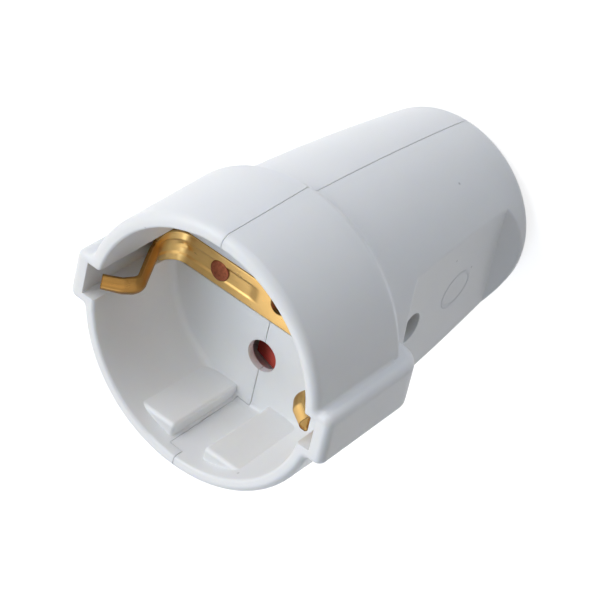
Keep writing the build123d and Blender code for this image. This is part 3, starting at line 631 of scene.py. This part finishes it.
class SOCKET_OT_earth_strip(bpy.types.Operator):
    """Builds the folded earth strip with its pressed panels, its dents and its two arched arms"""
    bl_idname = "socket.earth_strip"
    bl_label = "Earth strip"

    def execute(self, context):
        look = context.scene.socket_strip
        material = rolled_brass(
            "Brass_rolled_strip", look.colour, look.dark_colour,
            roughness=0.32, edge=0.0, shade_colour=tuple(look.shade_colour),
        )
        right = rounded_path(ARM_CORNERS, ARM_BEND_RADII, STRIP_STEP)
        # The left half is the right half mirrored, and run backwards to join it
        left = [
            (Vector((-place.x, place.y)), Vector((along.x, -along.y)), run)
            for place, along, run in reversed(right[1:])
        ]
        reach = right[-1][2]
        rings = [self.ring(look, reach, *station) for station in left + right]
        piece = self.strip_mesh(rings, material)
        self.pierce(piece, *RIVET_AXIS, RIVET_SHANK, look.flat_thickness)
        self.pierce(piece, *STRIP_HOLE, look.hole_radius, look.flat_thickness)
        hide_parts("earth_strip")
        return {"FINISHED"}

    def relief(self, look, y, half, height, run):
        """How far the face lies below its flat level: arch of the arm, pressed panel and dent."""
        arch = look.arm_crown * (y / half) ** 2 - look.arm_lift
        arch *= smooth_step(height, *ARCH_STARTS_Z)
        inside = 1 - smooth_step(abs(y), look.panel_half_width - PANEL_SLOPE, look.panel_half_width)
        inside *= smooth_step(run, *PANEL_FADES_IN)
        inside *= 1 - smooth_step(height, *PANEL_ENDS_Z)
        dent = bell((run - DENT_RUN) / DENT_HALF_LENGTH) * bell((y - DENT_SIDE) / DENT_HALF_WIDTH)
        return arch + look.panel_depth * inside + look.dent_depth * dent

    def ring(self, look, reach, place, along, run):
        """Points round the section at one place of the path: face, edge, back and other edge."""
        narrow = smooth_step(place.y, *TAPER_Z)
        to_tip = smooth_step(place.y, ARM_CORNERS[2][1], ARM_CORNERS[4][1])
        flat_half = (STRIP_HIGH.y - STRIP_LOW.y) / 2
        arm_half = look.arm_half_width + (look.tip_half_width - look.arm_half_width) * to_tip
        half = flat_half + (arm_half - flat_half) * narrow
        thick = look.flat_thickness + (look.arm_thickness - look.flat_thickness) * narrow
        inner = half - look.edge
        face = []
        for lane in range(-FACE_LANES, FACE_LANES + 1):
            y = inner * lane / FACE_LANES
            face.append((y, thick / 2 - self.relief(look, y, half, place.y, run)))
        level = -self.relief(look, inner, half, place.y, run)
        closed = smooth_step(run, reach - TIP_CLOSES[0], reach - TIP_CLOSES[1])
        back = [(y, z - thick + closed * (level + thick / 2 - z)) for y, z in reversed(face)]
        edge = []
        for step in range(1, EDGE_STEPS):
            angle = math.pi * (0.5 - step / EDGE_STEPS)
            # 1 by the face, 0 midway and -1 by the back
            side = (2 * step < EDGE_STEPS) - (2 * step > EDGE_STEPS)
            z = level + side * (thick / 2 - look.edge) + look.edge * math.sin(angle)
            edge.append((inner + look.edge * math.cos(angle), z))
        outline = face + edge + back + [(-y, z) for y, z in reversed(edge)]
        normal = Vector((-along.y, 0.0, along.x))
        middle = Vector((place.x, 0.0, place.y))
        return [middle + Vector((0.0, y, 0.0)) + normal * z for y, z in outline]

    def strip_mesh(self, rings, material):
        """The strip as one closed mesh, its ends a little dished."""
        count = len(rings[0])
        dished = []
        for end, before in ((rings[0], rings[1]), (rings[-1], rings[-2])):
            middle = sum(end, Vector()) / count
            inwards = (before[0] - end[0]).normalized() * TIP_DISH
            dished.append([middle.lerp(point, TIP_DISH_SHARE) + inwards for point in end])
        rings = [dished[0], *rings, dished[1]]
        vertices = [v for ring in rings for v in ring]
        faces = tube_faces(len(rings), count)
        faces.append(tuple(range(count)))
        last = (len(rings) - 1) * count
        faces.append(tuple(last + i for i in reversed(range(count))))
        return mesh_piece("earth_strip_folded", vertices, faces, material, "housing")

    def pierce(self, piece, x, y, radius, thickness):
        """Cuts a round hole through the flat of the strip, with a cutter that reaches well past it."""
        cutter_mesh = bpy.data.meshes.new("cutter")
        work = bmesh.new()
        bmesh.ops.create_cone(
            work, cap_ends=True, segments=ROUND_SIDES, radius1=radius, radius2=radius, depth=5 * thickness,
            matrix=Matrix.Translation((x, y, STRIP_MID_Z + thickness / 2)),
        )
        work.to_mesh(cutter_mesh)
        work.free()
        cutter = bpy.data.objects.new("cutter", cutter_mesh)
        bpy.context.scene.collection.objects.link(cutter)
        cut = piece.modifiers.new("hole", "BOOLEAN")
        cut.operation = "DIFFERENCE"
        cut.object = cutter
        bpy.context.view_layer.update()
        finished = piece.evaluated_get(bpy.context.evaluated_depsgraph_get())
        pierced = bpy.data.meshes.new_from_object(finished)
        piece.modifiers.remove(cut)
        old = piece.data
        piece.data = pierced
        bpy.data.meshes.remove(old)
        bpy.data.objects.remove(cutter)
        bpy.data.meshes.remove(cutter_mesh)


class SOCKET_OT_earth_rivet(bpy.types.Operator):
    """Turns the copper rivet with its low domed head"""
    bl_idname = "socket.earth_rivet"
    bl_label = "Earth rivet"

    def execute(self, context):
        look = context.scene.socket_small
        material = oxidised_copper("Copper_cold_headed", look.rivet)
        face_z = STRIP_MID_Z + context.scene.socket_strip.flat_thickness / 2
        tail = (RIVET_HIGH.x - RIVET_LOW.x) / 2
        tail_top = RIVET_LOW.z + RIVET_TAIL_HEIGHT
        head = look.rivet_head
        under_head = face_z - RIVET_HEAD_SUNK
        dome = [(share * head, face_z + lift * look.rivet_rise) for share, lift in RIVET_DOME]
        outline = [
            (0.0, face_z + look.rivet_rise),
            *dome,
            (head, under_head),
            (RIVET_SHANK, under_head),
            (RIVET_SHANK, tail_top),
            (tail, tail_top),
            (tail, RIVET_LOW.z + RIVET_TAIL_ROUNDING),
            (tail - RIVET_TAIL_ROUNDING, RIVET_LOW.z),
            (0.0, RIVET_LOW.z),
        ]
        piece = turned_piece(
            "earth_rivet_headed", outline, RIVET_AXIS, RIVET_WOBBLE, material, "housing",
        )
        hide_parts("earth_rivet")
        return {"FINISHED"}


class SOCKET_OT_shutter(bpy.types.Operator):
    """Finishes the nylon pieces and the contacts' spring clips, and coils the shutter's spring"""
    bl_idname = "socket.shutter"
    bl_label = "Shutter, spring, guide and clips"

    def execute(self, context):
        look = context.scene.socket_small
        red = moulded_nylon("Red_nylon_moulded", look.shutter, edge=0.12 * MM)
        finish_nodes(red, "shutter")
        pale = moulded_nylon("Pale_nylon_moulded", look.inner, edge=0.12 * MM)
        finish_nodes(pale, "shutter_guide", "cord_clamp_bar")
        steel = bright_metal("Spring_steel_drawn", look.steel, roughness=0.25, mark_mm=0.3, edge=0.0)
        finish_nodes(steel, "line_contact_clip", "neutral_contact_clip")
        self.coil(steel, look.wire)
        return {"FINISHED"}

    def coil(self, steel, wire):
        """The shutter's spring in round wire, its end turns closed."""
        low_x = SPRING_LOW.x + wire
        high_x = SPRING_HIGH.x - wire
        middle = Vector((0.0, (SPRING_LOW.y + SPRING_HIGH.y) / 2, (SPRING_LOW.z + SPRING_HIGH.z) / 2))
        mean = (SPRING_HIGH.z - SPRING_LOW.z) / 2 - wire
        open_turns = SPRING_TURNS - 2 * SPRING_CLOSED_TURNS
        closed_pitch = 2 * wire
        open_pitch = (high_x - low_x - 2 * SPRING_CLOSED_TURNS * closed_pitch) / open_turns
        across = Vector((1.0, 0.0, 0.0))
        vertices = []
        stations = int(SPRING_TURNS * SPRING_PLACES_PER_TURN)
        for station in range(stations + 1):
            turn = station / SPRING_PLACES_PER_TURN
            opened = min(max(turn - SPRING_CLOSED_TURNS, 0.0), open_turns)
            angle = math.tau * turn
            out = Vector((0.0, math.cos(angle), math.sin(angle)))
            x = low_x + (turn - opened) * closed_pitch + opened * open_pitch
            centre = middle + out * mean + across * x
            for side in range(WIRE_SIDES):
                around = math.tau * side / WIRE_SIDES
                vertices.append(centre + (out * math.cos(around) + across * math.sin(around)) * wire)
        faces = tube_faces(stations + 1, WIRE_SIDES)
        faces.append(tuple(range(WIRE_SIDES)))
        faces.append(tuple(stations * WIRE_SIDES + i for i in reversed(range(WIRE_SIDES))))
        piece = mesh_piece("shutter_spring_coil", vertices, faces, steel, "housing")
        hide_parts("shutter_spring")
        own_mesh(piece)


class SOCKET_OT_contacts(bpy.types.Operator):
    """Finishes the pin contacts, the terminals, their pressure plates and the earth link in brass"""
    bl_idname = "socket.contacts"
    bl_label = "Contacts and terminals"

    def execute(self, context):
        look = context.scene.socket_small
        names = ["earth_link", "line_contact", "neutral_contact"]
        for core in ("line", "neutral", "earth"):
            names += [core + "_terminal", core + "_pressure_plate"]
        film = context.scene.socket_strip.dark_colour
        brass = rolled_brass("Brass_stamped_contact", look.contact, film, roughness=0.3, edge=0.1 * MM)
        finish_nodes(brass, *names)
        return {"FINISHED"}


class SOCKET_OT_screws(bpy.types.Operator):
    """Finishes every screw and the nut in zinc plate"""
    bl_idname = "socket.screws"
    bl_label = "Screws and nut"

    def execute(self, context):
        colour = context.scene.socket_small.zinc
        zinc = bright_metal("Zinc_plated_steel", colour, roughness=0.32, mark_mm=0.4, edge=0.08 * MM)
        names = ["housing_screw", "housing_nut", "cord_clamp_screws"]
        names += [core + "_terminal_screw" for core in ("line", "neutral", "earth")]
        finish_nodes(zinc, *names)
        return {"FINISHED"}


# Square soft lights: name, direction from the socket, side in metres, power in watts, colour
LIGHTS = [
    ("Softbox_high_left", (-1.0, 1.0, 1.0), 0.6, 3.3, "#fffaf7"),
    ("Softbox_front", (-0.4, 0.4, 1.0), 0.6, 2.7, "#eef8ff"),
    ("Softbox_above", (0.0, 1.0, 0.0), 0.6, 2.7, "#dfebff"),
    ("Softbox_below", (0.0, -1.0, 1.0), 0.6, 2.9, "#dcebff"),
    ("Fill_low_left", (-1.0, -1.0, 1.0), 0.75, 1.3, "#ffe2bc"),
    ("Fill_right", (1.0, 0.6, 1.2), 0.6, 0.45, "#fff2de"),
]
LIGHT_DISTANCE = 0.9
WORLD_STRENGTH = 0.06
FLOOR_GLOW = 0.75
FLOOR_HALF_SIDE = 3.0
FLOOR_DROP = 0.05 * MM

# Camera: where it stands, and its right and backward directions
CAMERA_PLACE = Vector((228.07, 348.94, 417.07)) * MM
CAMERA_RIGHT = Vector((0.75762, 0.18579, -0.62570))
CAMERA_BACK = Vector((0.40318, 0.62066, 0.67248))


def seen_share(tree):
    """1 where the lens, a gloss or a clear piece looks at a surface, and 0 where light falls on it."""
    path = add_node(tree, "ShaderNodeLightPath")
    seen = add_node(tree, "ShaderNodeMath", {
        0: path.outputs["Is Camera Ray"], 1: path.outputs["Is Glossy Ray"],
    }, operation="ADD")
    seen = add_node(tree, "ShaderNodeMath", {
        0: seen.outputs["Value"], 1: path.outputs["Is Transmission Ray"],
    }, operation="ADD", use_clamp=True)
    return seen.outputs["Value"]


class SOCKET_OT_stage(bpy.types.Operator):
    """Lays the pale floor, sets the soft lights and places the camera"""
    bl_idname = "socket.stage"
    bl_label = "Floor, lights and camera"

    def execute(self, context):
        look = context.scene.socket_stage
        self.lay_floor(look)
        self.light_world(context.scene)
        aim = Vector((0.0, 0.0, RIM_Z / 2))
        for name, direction, size, power, colour in LIGHTS:
            self.hang_light(name, aim, Vector(direction).normalized(), size, power, colour)
        self.place_camera(context.scene, look.lens)
        context.scene.view_settings.view_transform = "Standard"
        return {"FINISHED"}

    def lay_floor(self, look):
        """A plain floor that shows white to the lens and still takes the object's shadow."""
        mesh = bpy.data.meshes.new("floor")
        work = bmesh.new()
        drop = Matrix.Translation((0.0, 0.0, -FLOOR_DROP))
        bmesh.ops.create_grid(work, x_segments=1, y_segments=1, size=FLOOR_HALF_SIDE, matrix=drop)
        work.to_mesh(mesh)
        work.free()
        floor = bpy.data.objects.new("floor", mesh)
        bpy.context.scene.collection.objects.link(floor)
        material = bpy.data.materials.new("Floor_matt_white")
        material.use_nodes = True
        tree = material.node_tree
        tree.nodes.clear()
        matt = add_node(tree, "ShaderNodeBsdfDiffuse", {"Color": list(look.floor)})
        glow = add_node(tree, "ShaderNodeMath", {
            0: seen_share(tree), 1: FLOOR_GLOW,
        }, operation="MULTIPLY")
        shine = add_node(tree, "ShaderNodeEmission", {
            "Color": (1, 1, 1, 1), "Strength": glow.outputs["Value"],
        })
        both = add_node(tree, "ShaderNodeAddShader", {
            0: matt.outputs["BSDF"], 1: shine.outputs["Emission"],
        })
        add_node(tree, "ShaderNodeOutputMaterial", {"Surface": both.outputs["Shader"]})
        mesh.materials.append(material)

    def light_world(self, scene):
        """Weak even light from all round, and white where the lens or a gloss looks past the floor."""
        world = bpy.data.worlds.new("Studio")
        scene.world = world
        world.use_nodes = True
        tree = world.node_tree
        tree.nodes.clear()
        strength = add_node(tree, "ShaderNodeMapRange", {
            "Value": seen_share(tree), "To Min": WORLD_STRENGTH, "To Max": 1.0,
        })
        sky = add_node(tree, "ShaderNodeBackground", {
            "Color": (1, 1, 1, 1), "Strength": strength.outputs["Result"],
        })
        add_node(tree, "ShaderNodeOutputWorld", {"Surface": sky.outputs["Background"]})

    def hang_light(self, name, aim, direction, size, power, colour):
        """A square soft light beside the socket, turned towards it."""
        lamp = bpy.data.lights.new(name, "AREA")
        lamp.shape = "SQUARE"
        lamp.size = size
        lamp.energy = power
        lamp.color = linear(colour)[:3]
        hung = bpy.data.objects.new(name, lamp)
        bpy.context.scene.collection.objects.link(hung)
        hung.location = aim + direction * LIGHT_DISTANCE
        hung.rotation_euler = direction.to_track_quat("Z", "Y").to_euler()

    def place_camera(self, scene, lens):
        """The camera at the photograph's angle, a little rolled. Its lens is on a 36 mm sensor."""
        back = CAMERA_BACK.normalized()
        right = (CAMERA_RIGHT - back * CAMERA_RIGHT.dot(back)).normalized()
        up = back.cross(right)
        camera = bpy.data.cameras.new("Camera")
        camera.lens = lens
        camera.sensor_width = 36.0
        camera.clip_start = 0.02
        camera.clip_end = 20.0
        seat = bpy.data.objects.new("Camera", camera)
        scene.collection.objects.link(seat)
        place = Matrix((right, up, back)).transposed().to_4x4()
        place.translation = CAMERA_PLACE
        seat.matrix_world = place
        scene.camera = seat


class SOCKET_PT_panel(bpy.types.Panel):
    """Buttons for each group of pieces, and the sizes and colours to change"""
    bl_idname = "SOCKET_PT_panel"
    bl_label = "Trailing Socket"
    bl_space_type = "VIEW_3D"
    bl_region_type = "UI"
    bl_category = "Trailing Socket"

    def draw(self, context):
        for step in STEPS:
            self.layout.operator(step.bl_idname)
        for group in SETTINGS:
            box = self.layout.box()
            settings = getattr(context.scene, group)
            for name in settings.__annotations__:
                box.prop(settings, name)


SETTINGS = {
    "socket_shell": ShellSettings,
    "socket_strip": StripSettings,
    "socket_small": SmallPartSettings,
    "socket_stage": StageSettings,
}
STEPS = [
    SOCKET_OT_shells,
    SOCKET_OT_scoop_ring,
    SOCKET_OT_earth_strip,
    SOCKET_OT_earth_rivet,
    SOCKET_OT_shutter,
    SOCKET_OT_contacts,
    SOCKET_OT_screws,
    SOCKET_OT_stage,
]


def register():
    for kind in [*SETTINGS.values(), *STEPS, SOCKET_PT_panel]:
        bpy.utils.register_class(kind)
    for name, kind in SETTINGS.items():
        setattr(bpy.types.Scene, name, PointerProperty(type=kind))


def unregister():
    for name in SETTINGS:
        delattr(bpy.types.Scene, name)
    for kind in reversed([*SETTINGS.values(), *STEPS, SOCKET_PT_panel]):
        bpy.utils.unregister_class(kind)


def main():
    """Builds every piece."""
    register()
    for step in STEPS:
        group, name = step.bl_idname.split(".")
        getattr(getattr(bpy.ops, group), name)()


if __name__ == "__main__":
    main()
